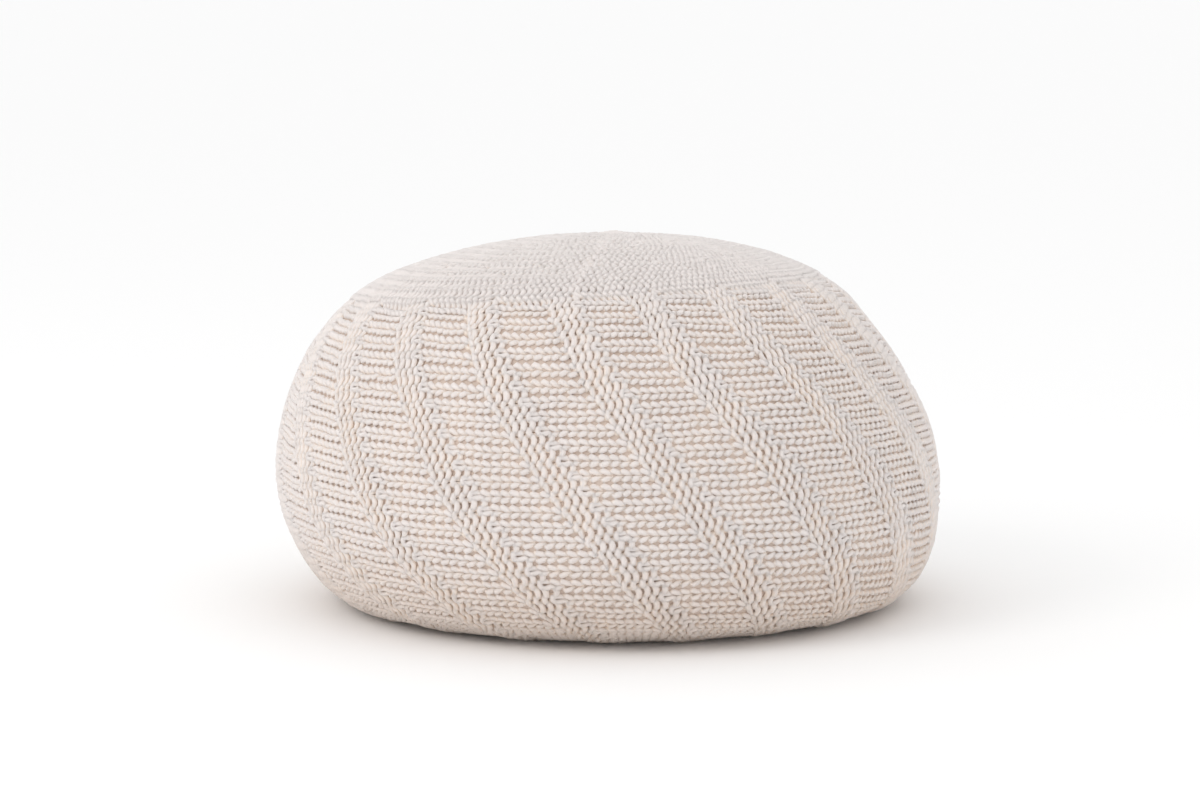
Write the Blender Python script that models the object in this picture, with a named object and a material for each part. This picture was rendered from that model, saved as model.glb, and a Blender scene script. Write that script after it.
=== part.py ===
# Knitted pouf: one squashed round cushion, wider than it is tall, that stands on a flat underside.
# Its cover is knitted sideways in one piece. Narrow raised bands climb the side in slanting lines
# between broad sunken blocks, and run together in a smooth crown drawn in to a small gather.
# Metres, +Z up. The origin is the middle of the underside, and the seen side faces -Y.

import math

import bmesh
import bpy
from mathutils import Vector

# Driving dimensions
BANDS = 20              # raised bands around the pouf
BAND_TRAVEL = math.radians(1.7)     # how far a band moves toward +X in one row of stitches
FIRST_BAND = math.radians(-9.8)     # where one band leaves the crown, from the front toward +X
BAND_RISE = 0.0022      # how far a band stands out of the blocks beside it
SIDE_WALES = 23.5       # rows of stitches over which the blocks are sunk
ROW_TILT = 0.019        # how much higher a row of stitches runs at +X than in the middle
GATHER_RADIUS = 0.016   # drawn-in knot of loops at the centre of the crown
GATHER_RISE = 0.0022
COTTON_COLOUR = (0.66, 0.58, 0.53, 1.0)
COTTON_ROUGHNESS = 0.92

# The outline of the filled cover, from the centre of the crown down to the flat underside.
# lean is how far the middle of that section stands toward +X.
SECTIONS = (
    # radius, height, lean
    (0.0000, 0.3030, 0.006),
    (0.0300, 0.3025, 0.006),
    (0.0600, 0.3005, 0.006),
    (0.0950, 0.2955, 0.006),
    (0.1300, 0.2875, 0.004),
    (0.1600, 0.2775, 0.001),
    (0.1800, 0.2685, -0.002),
    (0.1980, 0.2570, -0.004),
    (0.2130, 0.2430, -0.006),
    (0.2265, 0.2275, -0.007),
    (0.2415, 0.2065, -0.006),
    (0.2560, 0.1800, -0.004),
    (0.2670, 0.1515, -0.002),
    (0.2735, 0.1215, -0.001),
    (0.2745, 0.0915, 0.001),
    (0.2690, 0.0625, 0.004),
    (0.2580, 0.0360, 0.007),
    (0.2430, 0.0150, 0.009),
    (0.2260, 0.0045, 0.009),
    (0.2080, 0.0010, 0.009),
    (0.1800, 0.0000, 0.009),
)
CROWN_EDGE_SECTION = 7  # the row of SECTIONS where the crown ends and the blocks begin
CROWN_LIFT = 0.010      # how much higher the crown's edge stands at the front than at its sides
LIFT_FROM = 0.110       # height at which the lift begins
FRONT_TUCK = 0.006      # how much more the lower edge rolls up at the front
TUCK_FROM = 0.190       # radius at which that roll leaves the floor
TUCK_WIDTH = 0.045
TUCK_HEIGHT = 0.070     # height by which it has died out

# The rows of stitches down the outline. They are stretched at the crown's edge and near the floor.
WALE_ROWS = (
    # rows from the crown's edge, distance from it
    (-1.0, -0.0175),
    (0.0, -0.0040),
    (6.0, 0.0770),
    (13.0, 0.1555),
    (18.0, 0.2165),
    (22.0, 0.2745),
    (27.0, 0.3390),
)

# Slow swells in plan, as the filling has settled: lobes around, amount, turn
SWELLS = (
    (2, 0.0035, 0.6),
    (3, 0.0025, 2.1),
)

# One repeat around the pouf, in parts of a band pitch from the middle of the band
REPEAT = (
    # place, raised
    (-0.19, 0.0),
    (-0.09, 1.0),
    (0.09, 1.0),
    (0.19, 0.0),
    (0.50, 0.0),
)

# Mesh rows: places down the crown in parts of its length, and the steps down the side
CROWN_ROWS = (0.045, 0.085, 0.14, 0.25, 0.38, 0.51, 0.64, 0.77, 0.90)
SIDE_STEPS = 26
SMOOTH_STEPS = 8        # points worked out between two rows of SECTIONS
SHARP_ANGLE = math.radians(50.0)

# Parts of the whole way down the outline where the rows of stitches turn level,
# and where the bands die out under the pouf
LEVEL_FROM = 0.75
PLAIN_FROM = 0.93
PLAIN_TO = 0.98


def clear_scene():
    for old in list(bpy.data.objects):
        bpy.data.objects.remove(old, do_unlink=True)


def cotton():
    material = bpy.data.materials.new("undyed_cotton")
    material.use_nodes = True
    shader = material.node_tree.nodes["Principled BSDF"]
    shader.inputs["Base Color"].default_value = COTTON_COLOUR
    shader.inputs["Roughness"].default_value = COTTON_ROUGHNESS
    shader.inputs["Metallic"].default_value = 0.0
    return material


def ease(value):
    value = min(max(value, 0.0), 1.0)
    return value * value * (3.0 - 2.0 * value)


def between(before, start, end, after, part):
    # Smooth curve from start to end, as before and after lead into it
    return 0.5 * (
        2.0 * start
        + (end - before) * part
        + (2.0 * before - 5.0 * start + 4.0 * end - after) * part ** 2
        + (3.0 * start - before - 3.0 * end + after) * part ** 3
    )


def smooth_outline():
    # Points down the outline, each with its distance from the centre of the crown
    stations = [Vector(row) for row in SECTIONS]
    mirrored = Vector((-stations[1].x, stations[1].y, stations[1].z))
    beyond = 2.0 * stations[-1] - stations[-2]
    stations = [mirrored] + stations + [beyond]
    points = []
    for i in range(1, len(stations) - 2):
        for step in range(SMOOTH_STEPS):
            points.append(between(*stations[i - 1:i + 3], step / SMOOTH_STEPS))
    points.append(stations[-2])
    run = [0.0]
    for i in range(1, len(points)):
        run.append(run[-1] + (points[i].xy - points[i - 1].xy).length)
    return points, run


OUTLINE, RUN = smooth_outline()
CROWN_RUN = RUN[CROWN_EDGE_SECTION * SMOOTH_STEPS]
FULL_RUN = RUN[-1]


def outline_at(run):
    # Radius, height and lean at a distance down the outline, and its outward direction
    run = min(max(run, 0.0), FULL_RUN)
    i = 1
    while i < len(RUN) - 1 and RUN[i] < run:
        i += 1
    part = (run - RUN[i - 1]) / (RUN[i] - RUN[i - 1])
    place = OUTLINE[i - 1].lerp(OUTLINE[i], part)
    along = (OUTLINE[i] - OUTLINE[i - 1]).xy.normalized()
    return place, Vector((-along.y, along.x))


def row_lift(run, angle):
    # The rows of stitches run askew: higher at +X, level at the crown's centre and the floor
    grow = ease(run / CROWN_RUN)
    fade = 1.0 - ease((run / FULL_RUN - LEVEL_FROM) / (1.0 - LEVEL_FROM))
    return ROW_TILT * grow * fade * math.sin(angle)


def front_lift(radius, height, angle):
    # The filling has settled toward the back, so the crown and the lower edge tip up at the front
    crown_radius, crown_height, _ = SECTIONS[CROWN_EDGE_SECTION]
    reach = min(radius / crown_radius, 1.0)
    crown = CROWN_LIFT * reach * ease((height - LIFT_FROM) / (crown_height - LIFT_FROM)) * math.cos(angle)
    tuck = FRONT_TUCK * ease((radius - TUCK_FROM) / TUCK_WIDTH) * (1.0 - ease(height / TUCK_HEIGHT))
    return crown + tuck * max(math.cos(angle), 0.0) ** 2


def wales_at(run):
    # Rows of stitches between the crown's edge and a distance down the outline
    down = run - CROWN_RUN
    for (first, start), (last, end) in zip(WALE_ROWS, WALE_ROWS[1:]):
        if down <= end or last == WALE_ROWS[-1][0]:
            return first + (last - first) * (down - start) / (end - start)


def band_angle(column, wales):
    repeat, slot = divmod(column, len(REPEAT))
    pitch = 2.0 * math.pi / BANDS
    return FIRST_BAND + (repeat + REPEAT[slot][0]) * pitch + BAND_TRAVEL * wales


def relief(column, wales):
    # Bands are raised all the way, and the crown and the underside stand level with them
    raised = REPEAT[column % len(REPEAT)][1]
    in_crown = 1.0 - ease(wales + 0.5)
    under = ease(wales - SIDE_WALES)
    return BAND_RISE * max(raised, in_crown, under)


def surface_point(column, run):
    wales = wales_at(run)
    angle = band_angle(column, max(wales, 0.0))
    place, outward = outline_at(run - row_lift(run, angle))
    rise = relief(column, wales) - BAND_RISE
    rise += GATHER_RISE * (1.0 - ease(place.x / GATHER_RADIUS - 0.5))
    rise *= 1.0 - ease((run / FULL_RUN - PLAIN_FROM) / (PLAIN_TO - PLAIN_FROM))
    swell = sum(amount * math.sin(lobes * angle + turn) for lobes, amount, turn in SWELLS)
    radius = place.x * (1.0 + swell) + outward.x * rise
    height = place.y + outward.y * rise + front_lift(place.x, place.y, angle)
    return Vector((place.z + radius * math.sin(angle), -radius * math.cos(angle), height))


def stand_over_origin(body):
    # The middle of the whole pouf's plan comes to X = 0, Y = 0
    wide = [vertex.co.x for vertex in body.verts]
    deep = [vertex.co.y for vertex in body.verts]
    middle = Vector((min(wide) + max(wide), min(deep) + max(deep), 0.0)) / 2.0
    bmesh.ops.translate(body, vec=-middle, verts=body.verts)


def knitted_pouf():
    columns = BANDS * len(REPEAT)
    side = FULL_RUN - CROWN_RUN
    runs = [CROWN_RUN * part for part in CROWN_ROWS]
    runs += [CROWN_RUN + side * step / SIDE_STEPS for step in range(SIDE_STEPS + 1)]
    body = bmesh.new()
    rings = [[body.verts.new(surface_point(column, run)) for column in range(columns)] for run in runs]
    for vertex in rings[-1]:
        vertex.co.z = 0.0
    for upper, lower in zip(rings, rings[1:]):
        for column in range(columns):
            beside = (column + 1) % columns
            body.faces.new((upper[column], lower[column], lower[beside], upper[beside]))
    centre = body.verts.new((SECTIONS[0][2], 0.0, SECTIONS[0][1] + GATHER_RISE - BAND_RISE))
    for column in range(columns):
        body.faces.new((centre, rings[0][column], rings[0][(column + 1) % columns]))
    body.faces.new(list(reversed(rings[-1])))
    bmesh.ops.recalc_face_normals(body, faces=body.faces)
    stand_over_origin(body)
    mesh = bpy.data.meshes.new("knitted_pouf")
    body.to_mesh(mesh)
    body.free()
    mesh.shade_smooth()
    mesh.set_sharp_from_angle(angle=SHARP_ANGLE)
    mesh.materials.append(cotton())
    pouf = bpy.data.objects.new("knitted_pouf", mesh)
    bpy.context.scene.collection.objects.link(pouf)


clear_scene()
knitted_pouf()
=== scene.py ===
import math

import bpy
import numpy as np
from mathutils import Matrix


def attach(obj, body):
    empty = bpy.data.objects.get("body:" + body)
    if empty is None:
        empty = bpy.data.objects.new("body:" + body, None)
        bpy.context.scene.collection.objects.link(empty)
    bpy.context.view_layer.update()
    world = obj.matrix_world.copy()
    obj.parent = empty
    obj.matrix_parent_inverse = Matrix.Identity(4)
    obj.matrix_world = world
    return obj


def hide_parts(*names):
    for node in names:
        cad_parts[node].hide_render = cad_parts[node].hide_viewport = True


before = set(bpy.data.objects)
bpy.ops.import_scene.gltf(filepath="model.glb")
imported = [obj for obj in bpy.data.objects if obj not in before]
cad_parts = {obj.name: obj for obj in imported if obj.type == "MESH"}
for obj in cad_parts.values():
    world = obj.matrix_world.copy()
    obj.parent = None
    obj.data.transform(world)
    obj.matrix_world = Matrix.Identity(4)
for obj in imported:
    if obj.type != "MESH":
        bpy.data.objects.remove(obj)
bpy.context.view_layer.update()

# Filled body
# The stuffing in its plain cotton bag, which the knitted cover is drawn over. It is one padded form
# with a full crown and a flat base. Only shadowed bits of its cloth show between the stitches, and
# its tan colour is painted shade for them.
SECTIONS = (
    # radius, height, lean toward +X
    (0.0000, 0.3030, 0.006),
    (0.0300, 0.3025, 0.006),
    (0.0600, 0.3005, 0.006),
    (0.0950, 0.2955, 0.006),
    (0.1300, 0.2875, 0.004),
    (0.1600, 0.2775, 0.001),
    (0.1800, 0.2685, -0.002),
    (0.1980, 0.2570, -0.004),
    (0.2130, 0.2430, -0.006),
    (0.2265, 0.2275, -0.007),
    (0.2415, 0.2065, -0.006),
    (0.2560, 0.1800, -0.004),
    (0.2670, 0.1515, -0.002),
    (0.2735, 0.1215, -0.001),
    (0.2745, 0.0915, 0.001),
    (0.2690, 0.0625, 0.004),
    (0.2580, 0.0360, 0.007),
    (0.2430, 0.0150, 0.009),
    (0.2260, 0.0045, 0.009),
    (0.2080, 0.0010, 0.009),
    (0.1800, 0.0000, 0.009),
    (0.0900, 0.0000, 0.009),
    (0.0000, 0.0000, 0.009),
)
CROWN_EDGE_SECTION = 7      # where the crown ends and the side begins
FLOOR_SECTION = 20          # where the cover lies flat on the floor
SMOOTH_STEPS = 24           # points between two rows of SECTIONS
SWELLS = (
    # lobes around, amount, turn
    (2, 0.0035, 0.6),
    (3, 0.0025, 2.1),
)
ROW_TILT = 0.019            # how much higher a row of stitches runs at +X
LEVEL_FROM = 0.75           # part of the way to the floor where the rows turn level
CROWN_LIFT = 0.010          # the crown's edge stands higher at the front
LIFT_FROM = 0.110           # height at which that lift begins
FRONT_TUCK = 0.006          # the lower edge rolls up more at the front
TUCK_FROM = 0.190           # radius at which the roll leaves the floor
TUCK_WIDTH = 0.045
TUCK_HEIGHT = 0.070         # height by which it has died out
COVER_DEPTH = 0.0035        # how far the body lies inside the outside of the knitting
BODY_ROWS = 60
BODY_COLUMNS = 120
# painted shade: the bag is coloured tan, as the holes between the stitches look in shadow
BAG_SHADE_COLOUR = (0.67, 0.56, 0.49, 1.0)
THREAD_SHADE = 0.85         # how dark the cloth is between its threads, in parts of that


def ease(value):
    value = np.clip(value, 0.0, 1.0)
    return value * value * (3.0 - 2.0 * value)


def smooth_outline():
    # Smooth curve through the sections: radius, height, lean and the distance down it
    rows = np.array(SECTIONS)
    before = rows[1] * (-1.0, 1.0, 1.0)
    after = rows[-2] * (-1.0, 1.0, 1.0)
    rows = np.vstack([before, rows, after])
    part = np.linspace(0.0, 1.0, SMOOTH_STEPS, endpoint=False)[:, None]
    points = []
    for a, b, c, d in zip(rows, rows[1:], rows[2:], rows[3:]):
        points.append(0.5 * (
            2.0 * b + (c - a) * part
            + (2.0 * a - 5.0 * b + 4.0 * c - d) * part ** 2
            + (3.0 * b - a - 3.0 * c + d) * part ** 3
        ))
    points = np.vstack(points + [rows[-2:-1]])
    steps = np.linalg.norm(np.diff(points[:, :2], axis=0), axis=1)
    return points, np.concatenate([[0.0], np.cumsum(steps)])


OUTLINE, RUN = smooth_outline()
CROWN_RUN = RUN[CROWN_EDGE_SECTION * SMOOTH_STEPS]
FLOOR_RUN = RUN[FLOOR_SECTION * SMOOTH_STEPS]
SLOPE = np.gradient(OUTLINE[:, :2], RUN, axis=0)
SLOPE /= np.linalg.norm(SLOPE, axis=1)[:, None]


def radius_at(run):
    return np.interp(run, RUN, OUTLINE[:, 0])


def place_on_cover(run, angle, out):
    # A point at a distance down the outline and an angle from the front, and its outward direction
    grow = ease(run / CROWN_RUN)
    fade = 1.0 - ease((run / FLOOR_RUN - LEVEL_FROM) / (1.0 - LEVEL_FROM))
    run = run - ROW_TILT * grow * fade * np.sin(angle)
    radius, height, lean = (np.interp(run, RUN, OUTLINE[:, i]) for i in range(3))
    out_wide = -np.interp(run, RUN, SLOPE[:, 1])
    out_up = np.interp(run, RUN, SLOPE[:, 0])
    crown_radius, crown_height, _ = SECTIONS[CROWN_EDGE_SECTION]
    lift = CROWN_LIFT * np.minimum(radius / crown_radius, 1.0) * np.cos(angle)
    lift = lift * ease((height - LIFT_FROM) / (crown_height - LIFT_FROM))
    tuck = FRONT_TUCK * ease((radius - TUCK_FROM) / TUCK_WIDTH) * (1.0 - ease(height / TUCK_HEIGHT))
    lift = lift + tuck * np.maximum(np.cos(angle), 0.0) ** 2
    swell = sum(amount * np.sin(lobes * angle + turn) for lobes, amount, turn in SWELLS)
    wide = radius * (1.0 + swell) + out_wide * out
    place = np.stack([lean + wide * np.sin(angle), -wide * np.cos(angle), height + out_up * out + lift], -1)
    outward = np.stack([out_wide * np.sin(angle), -out_wide * np.cos(angle), out_up], -1)
    return place, outward


def make_mesh_object(name, points, faces):
    mesh = bpy.data.meshes.new(name)
    mesh.from_pydata(points.tolist(), [], faces)
    mesh.shade_smooth()
    made = bpy.data.objects.new(name, mesh)
    bpy.context.scene.collection.objects.link(made)
    return made


def filled_body():
    runs = np.linspace(0.0, RUN[-1], BODY_ROWS + 2)[1:-1]
    angles = np.linspace(0.0, 2.0 * math.pi, BODY_COLUMNS, endpoint=False)
    grid, _ = place_on_cover(runs[:, None], angles[None, :], -COVER_DEPTH)
    poles, _ = place_on_cover(np.array([0.0, RUN[-1]]), np.zeros(2), -COVER_DEPTH)
    points = np.vstack([grid.reshape(-1, 3), poles])
    top, bottom = len(points) - 2, len(points) - 1
    faces = []
    for column in range(BODY_COLUMNS):
        beside = (column + 1) % BODY_COLUMNS
        faces.append((top, column, beside))
        for row in range(BODY_ROWS - 1):
            a, b = row * BODY_COLUMNS, (row + 1) * BODY_COLUMNS
            faces.append((a + column, b + column, b + beside, a + beside))
        last = (BODY_ROWS - 1) * BODY_COLUMNS
        faces.append((last + column, bottom, last + beside))
    return make_mesh_object("filled_body", points, faces)


def bag_cloth_painted_shade():
    # Plain weave of fine thread, seen only in the shade of the stitches; its tan is painted shade
    material = bpy.data.materials.new("bag_cloth_painted_shade")
    material.use_nodes = True
    nodes, links = material.node_tree.nodes, material.node_tree.links
    shader = nodes["Principled BSDF"]
    shader.inputs["Roughness"].default_value = 0.95
    shader.inputs["Specular IOR Level"].default_value = 0.15
    place = nodes.new("ShaderNodeTexCoord")
    weave = nodes.new("ShaderNodeTexWave")
    weave.inputs["Scale"].default_value = 300.0
    weave.inputs["Distortion"].default_value = 2.0
    mix = nodes.new("ShaderNodeMix")
    mix.data_type = "RGBA"
    mix.inputs["A"].default_value = BAG_SHADE_COLOUR
    mix.inputs["B"].default_value = tuple(THREAD_SHADE * c for c in BAG_SHADE_COLOUR[:3]) + (1.0,)
    links.new(place.outputs["Object"], weave.inputs["Vector"])
    links.new(weave.outputs["Fac"], mix.inputs["Factor"])
    links.new(mix.outputs["Result"], shader.inputs["Base Color"])
    return material


body = filled_body()
body.data.materials.append(bag_cloth_painted_shade())
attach(body, "root")
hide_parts("knitted_pouf")

# Knitted cover
# One thick cotton yarn, knitted sideways: each course runs from the top centre down to the underside
# and hooks through the course before it. Slanting purl bands part blocks of plain stitches. Some
# courses turn back early, so that the crown draws in. The cover is made here in gores of courses.
REPEATS = 20
REPEAT_COURSES = 12
PURL_COURSES = 4            # courses of a repeat that show their purl side, as a band
COURSES = REPEATS * REPEAT_COURSES
COURSE_TURN = 2.0 * math.pi / COURSES
TWIST = math.radians(0.2)   # how far a course leans toward +X in one stitch
TWIST_FROM = -12.0          # the stitch from which it leans, counted from the crown's edge
FIRST_COURSE = math.radians(-6.8)
SIDE_STITCHES = 26          # stitches of a course between the crown and the underside
CROWN_STITCHES = 14         # the most that a course has in the crown
UNDER_STITCHES = 14         # the most that it has on the underside
STITCH_ROWS = (
    # rows of stitches below the crown's edge, distance from it down the outline
    (-15.0, -0.2063),
    (0.0, -0.0040),
    (6.0, 0.0770),
    (13.0, 0.1555),
    (18.0, 0.2165),
    (22.0, 0.2745),
    (27.0, 0.3390),
    (41.0, 0.5193),
)
TURN_ORDER = (0, 6, 3, 9, 1, 7, 4, 10, 2, 8, 5, 11)     # which course of a repeat turns back first
TURN_WIDTH = 0.012          # radius over which a turning course gives up its room
LEAST_ROOM = 0.02           # what it keeps, in parts of a course
CENTRE_RADIUS = 0.012       # where the last courses end, under the coil
CROWN_RADIUS = SECTIONS[CROWN_EDGE_SECTION][0]
FLOOR_RADIUS = SECTIONS[FLOOR_SECTION][0]

YARN_RADIUS = 0.00198
YARN_GIRTH = 2.0 * math.pi * YARN_RADIUS
YARN_SWELL = 0.12           # how much the yarn swells where it lies free on the outside
LOOP_REACH = 0.76           # half the length of a loop, in courses
LOOP_NECK = 0.058           # how much nearer the middle of its stitch each side of a loop lies
LOOP_DEPTH = 0.0019         # how far a loop swings in and out of the cloth
PLAIN_BULGE = 0.215         # how far its sides curve in near its feet and out near its head, in stitches
PURL_BULGE = 0.115
PLAIN_ARCH = 0.85           # below 1, the yarn of a plain loop leaves the outside sooner
PURL_ARCH = 4.0             # above 1, the yarn of a purl loop stays on the outside longer
PLAIN_LEAN = 0.055          # how far toward its head a plain loop stands highest
PLAIN_PLUMP = 0.09          # how much plumper the yarn is in a block
PURL_PLUMP = 0.17           # how much plumper it is where the purl side shows
PURL_FILL = 0.05            # how far out the hidden sides of a purl loop lie, from -1 to 1
MIXED_FOOT = 0.6            # how far out the yarn lies between a plain and a purl stitch
CROWN_REACH = 0.14          # what LOOP_REACH gains in the crown
CROWN_EASE = 0.35           # how much flatter the loops of the crown lie
CROWN_PLUMP = 0.035         # how much plumper their yarn is
BLOCK_SINK = 0.0003         # how much deeper the plain blocks lie than the bands
BLOCK_EDGE = 1.6            # courses over which a block sinks
DRAW_IN = 0.70              # courses by which a block is drawn toward the band on its +X side
DRAW_FROM = 1.4             # courses from the middle of that band where this begins
DRAW_TO = 2.0               # and where it is strongest, before it dies out over the block
ROW_STEP = 0.16             # half of the step of a row across a band, before it slopes back, in stitches
UNEVEN = {
    # what varies: seed, patches around the cover, patches down it, amount
    "rows": (1, 30, 16, 0.10),          # stitches
    "stitches": (2, 240, 60, 0.07),     # stitches
    "loops": (3, 240, 50, 0.13),        # courses
    "courses": (4, 16, 9, 0.5),         # courses
    "height": (5, 120, 40, 0.0005),     # metres
    "yarn": (6, 240, 90, 0.09),         # parts of its radius
}
GORES = 6
CROWN_SEGMENTS = 8          # steps of the yarn in one stitch of the crown
SIDE_SEGMENTS = 12          # and of the side
UNDER_SEGMENTS = 4          # and of the underside
YARN_SIDES = 5
FLAT_MARGIN = 0.04          # the space around a course in the map without overlaps
FIBRE_SHIFT = 0.37          # how far the fibres' pattern moves from one course to the next

YARN_COLOUR = (0.757, 0.700, 0.677, 1.0)
DARK_DYE = 0.90             # the dye runs from this part of YARN_COLOUR to the next
LIGHT_DYE = 1.06
PAINTED_BOUNCE_COLOUR = (0.97, 0.82, 0.70, 1.0)      # painted bounce light: yarn deep in the cloth is painted lighter and warmer
INNER_FROM = 0.0013         # depth at which this begins
INNER_TO = 0.0036
BAND_SHADE = 0.0011         # painted bounce light: a band's close strands are painted as if they lay this much deeper
FLOOR_SHADE_TINT = (0.97, 0.90, 0.83, 1.0)          # painted shade: the yarn nearest the floor is painted darker and warmer
LOW_FROM = 0.08


def run_at(wales):
    # Distance down the outline at a count of stitches below the crown's edge
    rows = np.array(STITCH_ROWS)
    return np.clip(CROWN_RUN + np.interp(wales, rows[:, 0], rows[:, 1]), 0.0, RUN[-1])


def uneven(kind, course, down):
    # Smooth random amounts over the cover, which join up around it
    seed, patches_round, patches_down, amount = UNEVEN[kind]
    values = np.random.default_rng(seed).uniform(-1.0, 1.0, (patches_round, patches_down + 2))
    across = (course / COURSES * patches_round) % patches_round
    along = np.clip(down, 0.0, 0.9999) * patches_down
    i, j = np.floor(across).astype(int), np.floor(along).astype(int)
    s, t = ease(across - i), ease(along - j)
    i, beside = i % patches_round, (i + 1) % patches_round
    near = values[i, j] * (1.0 - t) + values[i, j + 1] * t
    far = values[beside, j] * (1.0 - t) + values[beside, j + 1] * t
    return amount * (near * (1.0 - s) + far * s)


def turning_radius(rank, full_radius):
    return (rank + 0.5) / REPEAT_COURSES * full_radius


def course_room(course, wales):
    # Where a course lies among the courses around the pouf, and how much room each has there
    radius = radius_at(run_at(wales))
    full = np.where(wales < 0.5 * SIDE_STITCHES, CROWN_RADIUS, FLOOR_RADIUS)
    near_pole = (wales < 0.0) | (wales > SIDE_STITCHES)
    room = []
    for rank in TURN_ORDER:
        share = ease((radius - turning_radius(rank, full)) / TURN_WIDTH + 0.5)
        room.append(np.where(near_pole, np.maximum(share, LEAST_ROOM), 1.0))
    room = np.array(room)
    total = room.sum(axis=0)
    slot = course % REPEAT_COURSES
    before = room[:slot].sum(axis=0) + 0.5 * room[slot]
    place = course - slot + before / total * REPEAT_COURSES - 0.5
    return place, REPEAT_COURSES / total


def stitch_range(course):
    # The first and last stitch of a course, between the places where it turns back
    rank = TURN_ORDER[course % REPEAT_COURSES]
    wales = np.arange(-CROWN_STITCHES, SIDE_STITCHES + UNDER_STITCHES)
    radius = radius_at(run_at(wales + 0.5))
    crown = (wales < 0) & (radius > max(turning_radius(rank, CROWN_RADIUS), CENTRE_RADIUS))
    under = (wales >= SIDE_STITCHES) & (radius > max(turning_radius(rank, FLOOR_RADIUS), CENTRE_RADIUS))
    inside = (wales >= 0) & (wales < SIDE_STITCHES)
    used = wales[crown | under | inside]
    return used[0], used[-1]


def steps_of_course(course):
    # The stitch that each step of the yarn belongs to, and how far through the stitch it is
    first, last = stitch_range(course)
    stitch, part = [], []
    for j in range(first, last + 1):
        steps = CROWN_SEGMENTS if j < 0 else SIDE_SEGMENTS if j < SIDE_STITCHES else UNDER_SEGMENTS
        stitch += [j] * steps
        part += [i / steps for i in range(steps)]
    return np.array(stitch + [last]), np.array(part + [1.0])


def purl_side(course, stitch):
    # 1 where the purl side shows, -1 in a plain block
    band = (course + stitch) % REPEAT_COURSES < PURL_COURSES
    side = (stitch >= 0) & (stitch < SIDE_STITCHES)
    return np.where(side & ~band, -1.0, 1.0)


def quarter_blend(values, part, arch):
    # Eased run through five values, at the quarters of a stitch
    quarter = np.minimum((part * 4.0).astype(int), 3)
    step = 0.5 - 0.5 * np.cos(math.pi * (part * 4.0 - quarter))
    start = np.choose(quarter, values[:4])
    end = np.choose(quarter, values[1:])
    blend = start + (end - start) * step
    return 1.0 - 2.0 * (0.5 - 0.5 * blend) ** arch


def loop_swing(course, stitch, part):
    # How far out the yarn lies: 1 on the outside of the cloth, -1 on the inside
    own = purl_side(course, stitch)
    head = purl_side(course + 1, stitch)
    foot = np.where(purl_side(course, stitch - 1) == own, own, MIXED_FOOT)
    next_foot = np.where(purl_side(course, stitch + 1) == own, own, MIXED_FOOT)
    arch = np.where(own < 0.0, PLAIN_ARCH, PURL_ARCH)
    lean = np.where(own < 0.0, PLAIN_LEAN, 0.0)
    high = part - lean * np.sin(2.0 * math.pi * part)
    swing = quarter_blend([foot, -own, head, -own, next_foot], high, arch)
    return np.where(own > 0.0, np.maximum(swing, PURL_FILL), swing)


def loop_path(course, stitch, part, crown):
    # How many stitches down its course the yarn lies, and how many courses ahead of its middle
    own = purl_side(course, stitch)
    head_shows = (purl_side(course + 1, stitch) > 0.0) & (np.abs(part - 0.5) < 0.25)
    bulge = np.where((own < 0.0) & ~head_shows, PLAIN_BULGE, PURL_BULGE)
    wales = stitch + part + bulge * np.sin(4.0 * math.pi * part)
    wales = wales + LOOP_NECK * np.sin(2.0 * math.pi * part)
    ahead = -(LOOP_REACH + CROWN_REACH * crown) * np.cos(2.0 * math.pi * part)
    return wales, ahead


def settled(place, wales):
    # The cloth as its tension leaves it: where the yarn has moved, whether it is on the side of the
    # pouf and how far it has sunk in a block
    half, half_band = 0.5 * REPEAT_COURSES, 0.5 * PURL_COURSES
    from_band = (place + wales - half_band + half) % REPEAT_COURSES - half
    on_side = ease(wales + 0.5) * (1.0 - ease(wales - SIDE_STITCHES + 0.5))
    sink = on_side * ease((np.abs(from_band) - half_band) / BLOCK_EDGE + 0.5)
    edges = (-half, -half_band, half_band, half)
    wales = wales + ROW_STEP * on_side * np.interp(from_band, edges, (0.0, -1.0, 1.0, 0.0))
    past_band = from_band % REPEAT_COURSES
    block_end = REPEAT_COURSES - half_band
    drawn = ease((past_band - DRAW_FROM) / (DRAW_TO - DRAW_FROM))
    drawn = drawn * np.clip((block_end - past_band) / (block_end - DRAW_TO), 0.0, 1.0)
    return place - DRAW_IN * on_side * drawn, wales, on_side, sink


def yarn_of_course(course):
    # The yarn's middle line along one course, its outward direction, its radius and how it is shaded
    stitch, part = steps_of_course(course)
    own = purl_side(course, stitch)
    swing = loop_swing(course, stitch, part)
    crown = 1.0 - ease(stitch + part + 1.0)
    wales, ahead = loop_path(course, stitch, part, crown)
    down = run_at(wales) / RUN[-1]
    where = course + ahead
    wales = wales + uneven("rows", where, down) + uneven("stitches", where, down)
    place, room = course_room(course, wales)
    place = place + room * (ahead + uneven("loops", where, down))
    place = place + uneven("courses", where, down)
    place, wales, on_side, sink = settled(place, wales)
    out = -YARN_RADIUS - LOOP_DEPTH * (1.0 - CROWN_EASE * crown) * (1.0 - swing) - BLOCK_SINK * sink
    out = out + uneven("height", where, down)
    angle = FIRST_COURSE - COURSE_TURN * place + TWIST * np.clip(wales, TWIST_FROM, SIDE_STITCHES)
    points, outward = place_on_cover(run_at(wales), angle, out)
    radius = YARN_RADIUS * (1.0 + YARN_SWELL * swing)
    radius = radius * (1.0 + np.where(own < 0.0, PLAIN_PLUMP, PURL_PLUMP) + CROWN_PLUMP * crown)
    radius = radius * (1.0 + uneven("yarn", where, down))
    points[:, 2] = np.maximum(points[:, 2], radius)
    # painted bounce light: band strands are painted warmer, as if they lay deeper
    shaded = np.where(own > 0.0, BAND_SHADE * on_side, 0.0)
    return points, outward, radius, out + BLOCK_SINK * sink - shaded


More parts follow.
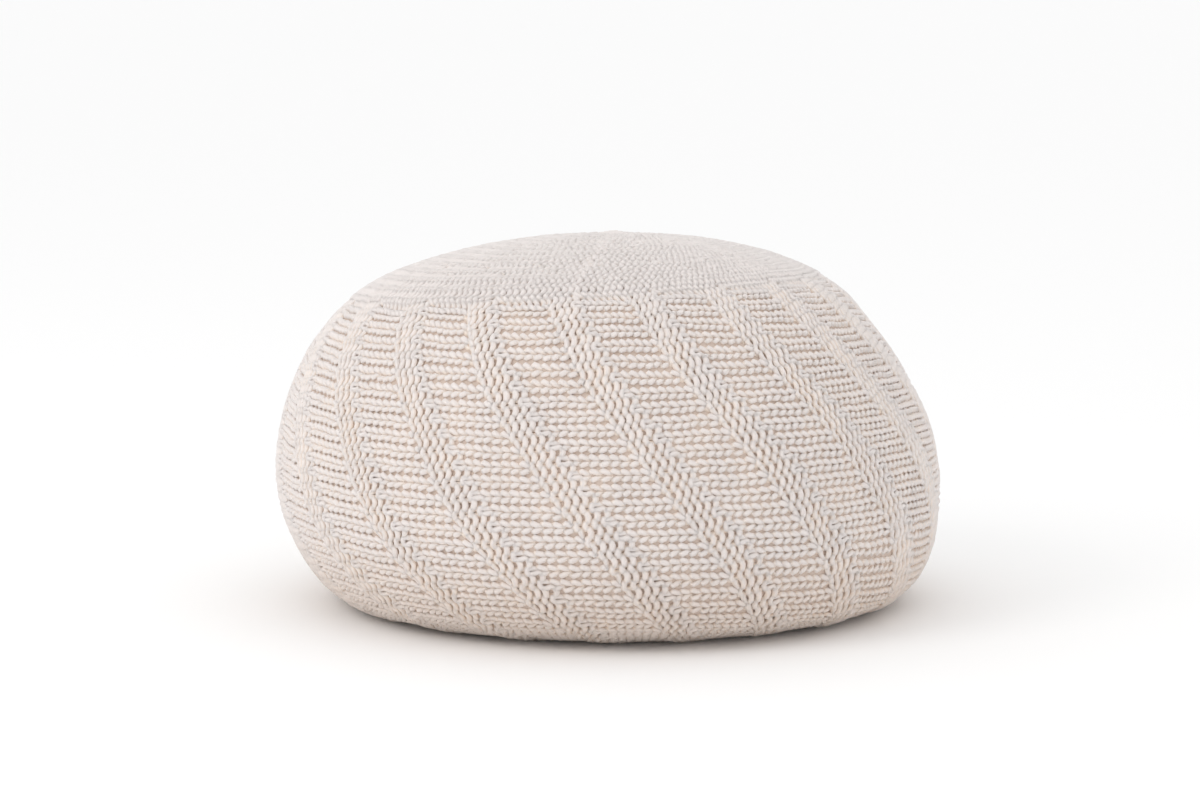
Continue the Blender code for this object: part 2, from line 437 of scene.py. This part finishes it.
def yarn_tube(points, outward, radius, out):
    # The corners of a round tube along the yarn, the length to each ring and how much painted bounce
    # light each corner gets from how deep it lies
    along = np.gradient(points, axis=0)
    along /= np.linalg.norm(along, axis=1)[:, None]
    across = np.cross(along, outward)
    across /= np.linalg.norm(across, axis=1)[:, None]
    upward = np.cross(across, along)
    turns = np.arange(YARN_SIDES) / YARN_SIDES * 2.0 * math.pi
    ring = (
        np.cos(turns)[None, :, None] * upward[:, None, :]
        + np.sin(turns)[None, :, None] * across[:, None, :]
    )
    corners = points[:, None, :] + radius[:, None, None] * ring
    corners[:, :, 2] = np.maximum(corners[:, :, 2], 0.0)
    steps = np.linalg.norm(np.diff(points, axis=0), axis=1)
    deep = -(out[:, None] + radius[:, None] * np.cos(turns)[None, :])
    # painted bounce light: deep yarn is painted lighter and warmer, more the deeper it lies
    painted_bounce = ease((deep - INNER_FROM) / (INNER_TO - INNER_FROM))
    return corners.reshape(-1, 3), np.concatenate([[0.0], np.cumsum(steps)]), painted_bounce.ravel()


def tube_faces(rings, start):
    # The four-cornered faces of a tube whose corners begin at start, and its two ends
    ring = np.arange(rings - 1)[:, None] * YARN_SIDES + start
    side = np.arange(YARN_SIDES)[None, :]
    beside = (side + 1) % YARN_SIDES
    after = ring + YARN_SIDES
    quads = np.stack([ring + side, ring + beside, after + beside, after + side], -1).reshape(-1, 4)
    first_end = list(range(start, start + YARN_SIDES))[::-1]
    last = start + (rings - 1) * YARN_SIDES
    last_end = list(range(last, last + YARN_SIDES))
    return quads.tolist() + [first_end, last_end]


def tube_map(length):
    # For each corner of those faces, how far along the yarn it is, in girths, and how far around
    lower = np.repeat(length[:-1], YARN_SIDES)
    upper = np.repeat(length[1:], YARN_SIDES)
    near = np.tile(np.arange(YARN_SIDES) / YARN_SIDES, len(length) - 1)
    far = near + 1.0 / YARN_SIDES
    return np.stack([lower, lower, upper, upper], -1) / YARN_GIRTH, np.stack([near, far, far, near], -1)


def map_places(along, around):
    # One map's places for a whole tube, with both ends in its corner
    return np.vstack([np.stack([along, around], -1).reshape(-1, 2), np.zeros((2 * YARN_SIDES, 2))])


def finish_yarn_mesh(made, maps, painted_bounce):
    for name, places in maps:
        layer = made.data.uv_layers.new(name=name)
        layer.data.foreach_set("uv", places.ravel())
    # the share of painted bounce light at each corner
    made.data.attributes.new("painted_bounce", "FLOAT", "POINT").data.foreach_set("value", painted_bounce)


def gore(number):
    # The courses of one gore as one mesh, with a map of the yarn and a map without overlaps
    courses = range(number * COURSES // GORES, (number + 1) * COURSES // GORES)
    points, faces, yarn_map, flat_map, painted_bounce = [], [], [], [], []
    start = 0
    for row, course in enumerate(courses):
        corners, length, deep = yarn_tube(*yarn_of_course(course))
        along, around = tube_map(length)
        across = (row + FLAT_MARGIN + (1.0 - 2.0 * FLAT_MARGIN) * around) / len(courses)
        points.append(corners)
        faces += tube_faces(len(length), start)
        yarn_map.append(map_places(along + FIBRE_SHIFT * course, around))
        flat_map.append(map_places(along * YARN_GIRTH / length[-1], across))
        painted_bounce.append(deep)
        start += len(corners)
    made = make_mesh_object(f"knitted_gore_{number + 1}", np.vstack(points), faces)
    maps = (("yarn", np.vstack(yarn_map)), ("OFBake", np.vstack(flat_map)))
    finish_yarn_mesh(made, maps, np.concatenate(painted_bounce))
    return made


def cotton_yarn():
    # Soft plied cotton: slanting plies, fine fibres along them and a little uneven dye, with painted
    # bounce light deep in the cloth and painted shade near the floor
    material = bpy.data.materials.new("cotton_yarn")
    material.use_nodes = True
    nodes, links = material.node_tree.nodes, material.node_tree.links
    shader = nodes["Principled BSDF"]
    shader.inputs["Roughness"].default_value = 0.9
    shader.inputs["Specular IOR Level"].default_value = 0.2
    shader.inputs["Subsurface Weight"].default_value = 0.35
    shader.inputs["Subsurface Radius"].default_value = (1.0, 1.0, 1.0)
    shader.inputs["Subsurface Scale"].default_value = 0.0040
    shader.inputs["Sheen Weight"].default_value = 0.12
    shader.inputs["Sheen Roughness"].default_value = 0.5
    place = nodes.new("ShaderNodeTexCoord")

    # Fibres along the yarn
    along = nodes.new("ShaderNodeUVMap")
    along.uv_map = "yarn"
    stretch = nodes.new("ShaderNodeMapping")
    stretch.inputs["Rotation"].default_value = (0.0, 0.0, math.radians(28.0))
    stretch.inputs["Scale"].default_value = (3.0, 22.0, 1.0)
    fibres = nodes.new("ShaderNodeTexNoise")
    fibres.inputs["Scale"].default_value = 1.6
    fibres.inputs["Detail"].default_value = 4.0
    links.new(along.outputs["UV"], stretch.inputs["Vector"])
    links.new(stretch.outputs["Vector"], fibres.inputs["Vector"])

    # Dye that is a little darker or lighter from fibre to fibre and from place to place
    blotch = nodes.new("ShaderNodeTexNoise")
    blotch.inputs["Scale"].default_value = 55.0
    blotch.inputs["Detail"].default_value = 3.0
    share = nodes.new("ShaderNodeMath")
    share.operation = "MULTIPLY_ADD"
    share.inputs[1].default_value = 0.6
    dye = nodes.new("ShaderNodeMix")
    dye.data_type = "RGBA"
    dye.inputs["A"].default_value = tuple(DARK_DYE * c for c in YARN_COLOUR[:3]) + (1.0,)
    dye.inputs["B"].default_value = tuple(min(LIGHT_DYE * c, 1.0) for c in YARN_COLOUR[:3]) + (1.0,)
    links.new(place.outputs["Object"], blotch.inputs["Vector"])
    links.new(fibres.outputs["Fac"], share.inputs[0])
    links.new(blotch.outputs["Fac"], share.inputs[2])
    links.new(share.outputs["Value"], dye.inputs["Factor"])

    # Painted bounce light: yarn deep in the cloth is painted lighter and warmer
    painted_bounce = nodes.new("ShaderNodeAttribute")
    painted_bounce.attribute_name = "painted_bounce"
    depth = nodes.new("ShaderNodeMix")
    depth.data_type = "RGBA"
    depth.inputs["B"].default_value = PAINTED_BOUNCE_COLOUR
    links.new(painted_bounce.outputs["Fac"], depth.inputs["Factor"])
    links.new(dye.outputs["Result"], depth.inputs["A"])

    # Painted shade: yarn near the floor is painted darker and warmer
    height = nodes.new("ShaderNodeSeparateXYZ")
    low = nodes.new("ShaderNodeMapRange")
    low.inputs["From Min"].default_value = LOW_FROM
    low.inputs["From Max"].default_value = 0.0
    shade = nodes.new("ShaderNodeMix")
    shade.data_type = "RGBA"
    shade.blend_type = "MULTIPLY"
    shade.inputs["B"].default_value = FLOOR_SHADE_TINT
    links.new(place.outputs["Object"], height.inputs["Vector"])
    links.new(height.outputs["Z"], low.inputs["Value"])
    links.new(low.outputs["Result"], shade.inputs["Factor"])
    links.new(depth.outputs["Result"], shade.inputs["A"])
    links.new(shade.outputs["Result"], shader.inputs["Base Color"])

    # Fine relief of fibres and small tufts
    tufts = nodes.new("ShaderNodeTexNoise")
    tufts.inputs["Scale"].default_value = 420.0
    tufts.inputs["Detail"].default_value = 2.0
    relief = nodes.new("ShaderNodeMath")
    relief.operation = "MULTIPLY_ADD"
    relief.inputs[1].default_value = 0.35
    bump = nodes.new("ShaderNodeBump")
    bump.inputs["Strength"].default_value = 0.7
    bump.inputs["Distance"].default_value = 0.0012
    links.new(place.outputs["Object"], tufts.inputs["Vector"])
    links.new(fibres.outputs["Fac"], relief.inputs[0])
    links.new(tufts.outputs["Fac"], relief.inputs[2])
    links.new(relief.outputs["Value"], bump.inputs["Height"])
    links.new(bump.outputs["Normal"], shader.inputs["Normal"])
    return material


yarn = cotton_yarn()
for number in range(GORES):
    cover = gore(number)
    cover.data.materials.append(yarn)
    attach(cover, "root")
    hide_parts("knitted_pouf")

# Drawn-in centres
# Where the courses meet, on top and underneath, the same yarn is wound round and drawn tight, which
# closes the cover with a small flat coil of a few turns.
COIL_RADIUS = 0.0155
COIL_CENTRE = 0.0015        # radius at which the innermost turn ends
COIL_TURNS = 4
COIL_STEPS = 48             # steps in one turn
COIL_RISE = 0.0010          # how far the top coil stands out at its centre
COIL_FALL = 0.16            # how much it falls for its radius


def drawn_in_centre(name, on_top):
    turn = np.linspace(0.0, COIL_TURNS, COIL_TURNS * COIL_STEPS + 1)
    reach = COIL_RADIUS * (1.0 - turn / COIL_TURNS) + COIL_CENTRE
    radius = np.full(turn.shape, YARN_RADIUS)
    if on_top:
        points, outward = place_on_cover(reach, -2.0 * math.pi * turn, COIL_RISE - reach * COIL_FALL)
    else:
        points, outward = place_on_cover(RUN[-1] - reach, 2.0 * math.pi * turn, 0.0)
        points[:, 2] = YARN_RADIUS
    corners, length, painted_bounce = yarn_tube(points, outward, radius, -radius)
    made = make_mesh_object(name, corners, tube_faces(len(length), 0))
    finish_yarn_mesh(made, [("yarn", map_places(*tube_map(length)))], painted_bounce)
    made.data.materials.append(yarn)
    return made


for name, on_top in (("top_coil", True), ("under_coil", False)):
    coil = drawn_in_centre(name, on_top)
    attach(coil, "root")
    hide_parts("knitted_pouf")

# Floor, light and camera
# A pale seamless floor under soft studio light from the front left, seen from just above the pouf.
FLOOR_COLOUR = (0.95, 0.95, 0.95, 1.0)
FLOOR_SIZE = 120.0
AIR_COLOUR = (0.985, 0.985, 0.985, 1.0)
AIR_STRENGTH = 1.03
LAMP_COLOUR = (1.0, 0.98, 0.965)
LAMPS = (
    # name, place, size, power
    ("key_lamp", (-1.9, -1.5, 1.9), 1.2, 14.0),
    ("front_lamp", (-0.5, -3.0, 1.2), 1.6, 2.0),
)
CAMERA_DISTANCE = 2.8
CAMERA_RISE = math.radians(7.6)
AIM_HEIGHT = 0.150
PIXEL = 0.000827            # metres that one pixel of the photo spans at the pouf's middle
PHOTO_WIDTH, PHOTO_HEIGHT = 1200, 800
MIDDLE_COLUMN = 607.0       # where the pouf's middle stands in the photo
AIM_ROW = 418.0             # the row at which AIM_HEIGHT shows

bpy.ops.object.select_all(action="DESELECT")
bpy.ops.mesh.primitive_plane_add(size=FLOOR_SIZE, location=(0.0, 0.0, 0.0))
floor = bpy.context.object
floor.name = "studio_floor"
paper = bpy.data.materials.new("studio_paper")
paper.use_nodes = True
paper.node_tree.nodes["Principled BSDF"].inputs["Base Color"].default_value = FLOOR_COLOUR
paper.node_tree.nodes["Principled BSDF"].inputs["Roughness"].default_value = 0.9
floor.data.materials.append(paper)

world = bpy.data.worlds.new("studio_air")
world.use_nodes = True
world.node_tree.nodes["Background"].inputs["Color"].default_value = AIR_COLOUR
world.node_tree.nodes["Background"].inputs["Strength"].default_value = AIR_STRENGTH
bpy.context.scene.world = world
bpy.context.scene.view_settings.view_transform = "Standard"


def soft_lamp(name, place, size, power):
    lamp = bpy.data.lights.new(name, "AREA")
    lamp.shape = "SQUARE"
    lamp.size = size
    lamp.energy = power
    lamp.color = LAMP_COLOUR
    made = bpy.data.objects.new(name, lamp)
    made.location = place
    aim = np.array([0.0, 0.0, AIM_HEIGHT]) - np.array(place)
    yaw = math.atan2(aim[1], aim[0]) - math.pi / 2.0
    pitch = math.atan2(aim[2], math.hypot(aim[0], aim[1]))
    made.rotation_euler = (math.pi / 2.0 + pitch, 0.0, yaw)
    bpy.context.scene.collection.objects.link(made)


for name, place, size, power in LAMPS:
    soft_lamp(name, place, size, power)

lens = bpy.data.cameras.new("photo_camera")
camera = bpy.data.objects.new("photo_camera", lens)
camera.location = (
    0.0,
    -CAMERA_DISTANCE * math.cos(CAMERA_RISE),
    AIM_HEIGHT + CAMERA_DISTANCE * math.sin(CAMERA_RISE),
)
camera.rotation_euler = (math.pi / 2.0 - CAMERA_RISE, 0.0, 0.0)
lens.sensor_fit = "HORIZONTAL"
lens.sensor_width = 36.0
lens.lens = lens.sensor_width * CAMERA_DISTANCE / (PHOTO_WIDTH * PIXEL)
lens.shift_x = (PHOTO_WIDTH / 2.0 - MIDDLE_COLUMN) / PHOTO_WIDTH
lens.shift_y = (AIM_ROW - PHOTO_HEIGHT / 2.0) / PHOTO_WIDTH
lens.dof.use_dof = False
bpy.context.scene.collection.objects.link(camera)
bpy.context.scene.camera = camera
